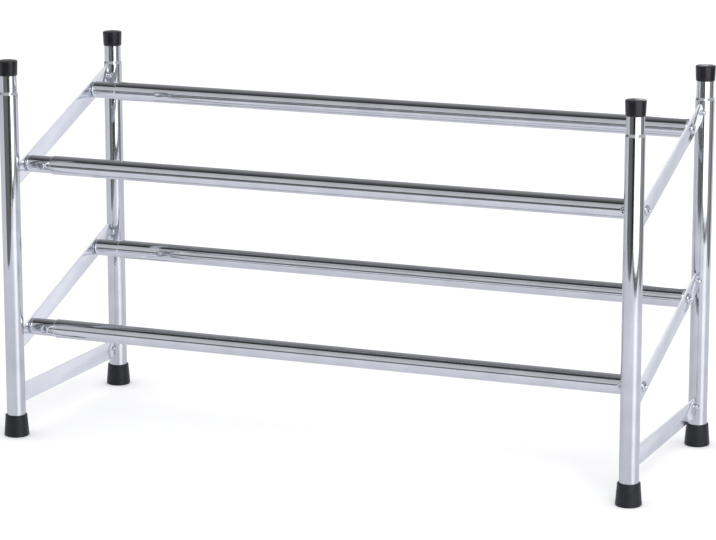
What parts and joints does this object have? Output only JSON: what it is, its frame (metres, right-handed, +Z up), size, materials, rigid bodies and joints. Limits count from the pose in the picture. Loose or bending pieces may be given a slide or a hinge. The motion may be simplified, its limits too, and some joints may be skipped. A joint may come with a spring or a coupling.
{
  "type": "pull out shoe rack",
  "caption": "Chromed tube shoe rack on black feet, with sloping tiers of telescoping rails that pull out sideways between welded end frames.",
  "frame": {"origin": "on the floor, in the middle of the footprint of the closed rack", "axes": "+X to the right along the rails, towards the frame that pulls out; +Y to the rear, towards the higher rails; +Z up"},
  "size_m": [0.64, 0.24, 0.365],
  "materials": {
    "chromed_tube": "bright chrome plate on steel tube",
    "chromed_bar": "chrome plate on flat steel, a little duller than the tube",
    "black_plastic": "black moulded polyethylene, satin",
    "black_rubber": "black moulded rubber, satin",
    "nylon": "natural nylon",
    "plain_steel": "turned steel"
  },
  "bodies": {
    "left_frame": {"left_front_post": "chromed_tube", "left_front_cap": "black_plastic", "left_front_foot": "black_rubber", "left_rear_post": "chromed_tube", "left_rear_cap": "black_plastic", "left_rear_foot": "black_rubber", "left_base_bar": "chromed_bar", "left_lower_bar": "chromed_bar", "left_upper_bar": "chromed_bar", "left_weld_nuggets": "chromed_bar", "left_rail_screws": "chromed_bar", "front_lower_inner_tube": "chromed_tube", "front_lower_inner_plug": "plain_steel", "front_lower_glide_bush": "nylon", "front_upper_inner_tube": "chromed_tube", "front_upper_inner_plug": "plain_steel", "front_upper_glide_bush": "nylon", "rear_lower_inner_tube": "chromed_tube", "rear_lower_inner_plug": "plain_steel", "rear_lower_glide_bush": "nylon", "rear_upper_inner_tube": "chromed_tube", "rear_upper_inner_plug": "plain_steel", "rear_upper_glide_bush": "nylon"},
    "right_frame": {"right_front_post": "chromed_tube", "right_front_cap": "black_plastic", "right_front_foot": "black_rubber", "right_rear_post": "chromed_tube", "right_rear_cap": "black_plastic", "right_rear_foot": "black_rubber", "right_base_bar": "chromed_bar", "right_lower_bar": "chromed_bar", "right_upper_bar": "chromed_bar", "right_weld_nuggets": "chromed_bar", "right_rail_screws": "chromed_bar", "front_lower_outer_tube": "chromed_tube", "front_lower_outer_plug": "plain_steel", "front_upper_outer_tube": "chromed_tube", "front_upper_outer_plug": "plain_steel", "rear_lower_outer_tube": "chromed_tube", "rear_lower_outer_plug": "plain_steel", "rear_upper_outer_tube": "chromed_tube", "rear_upper_outer_plug": "plain_steel"}
  },
  "joints": [
    {"name": "pull_out", "type": "slide", "parent": "left_frame", "child": "right_frame", "axis": [1, 0, 0], "range_m": [0, 0.5]}
  ]
}
